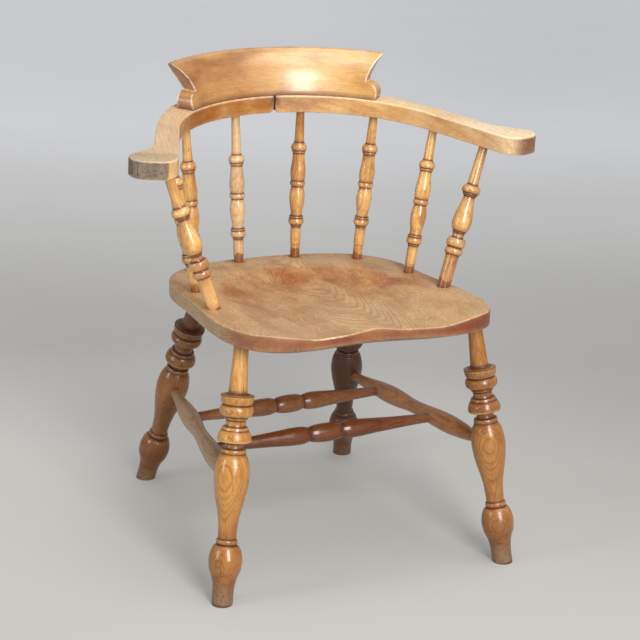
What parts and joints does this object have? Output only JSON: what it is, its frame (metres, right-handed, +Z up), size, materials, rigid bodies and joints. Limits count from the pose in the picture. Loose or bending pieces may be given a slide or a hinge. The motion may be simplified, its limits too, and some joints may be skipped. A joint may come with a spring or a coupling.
{
  "type": "captains chair",
  "caption": "Low-backed wooden armchair with a dished saddle seat, splayed turned legs and stretchers, a sawn arm bow on turned spindles, and a coved crest rail.",
  "frame": {"origin": "on the floor, at the middle of the chair's bounding box", "axes": "+Z up from the floor, the sitter faces -Y, and +X is the sitter's left"},
  "size_m": [0.7314, 0.594, 0.8154],
  "materials": {
    "seat_wood": "waxed satin",
    "leg_wood": "waxed satin",
    "stretcher_wood": "waxed satin",
    "arm_wood": "waxed satin",
    "upright_wood": "waxed satin",
    "dowel_wood": "bare"
  },
  "bodies": {
    "root": {"seat": "seat_wood", "front_left_leg": "leg_wood", "front_right_leg": "leg_wood", "back_left_leg": "leg_wood", "back_right_leg": "leg_wood", "left_stretcher": "stretcher_wood", "right_stretcher": "stretcher_wood", "back_cross_stretcher": "stretcher_wood", "front_cross_stretcher": "stretcher_wood", "left_arm": "arm_wood", "right_arm": "arm_wood", "left_outer_spindle": "upright_wood", "left_middle_spindle": "upright_wood", "left_inner_spindle": "upright_wood", "left_arm_support": "upright_wood", "right_outer_spindle": "upright_wood", "right_middle_spindle": "upright_wood", "right_inner_spindle": "upright_wood", "right_arm_support": "upright_wood", "crest_rail": "arm_wood", "crest_dowel_1": "dowel_wood", "crest_dowel_2": "dowel_wood", "crest_dowel_3": "dowel_wood", "crest_dowel_4": "dowel_wood"}
  },
  "joints": []
}
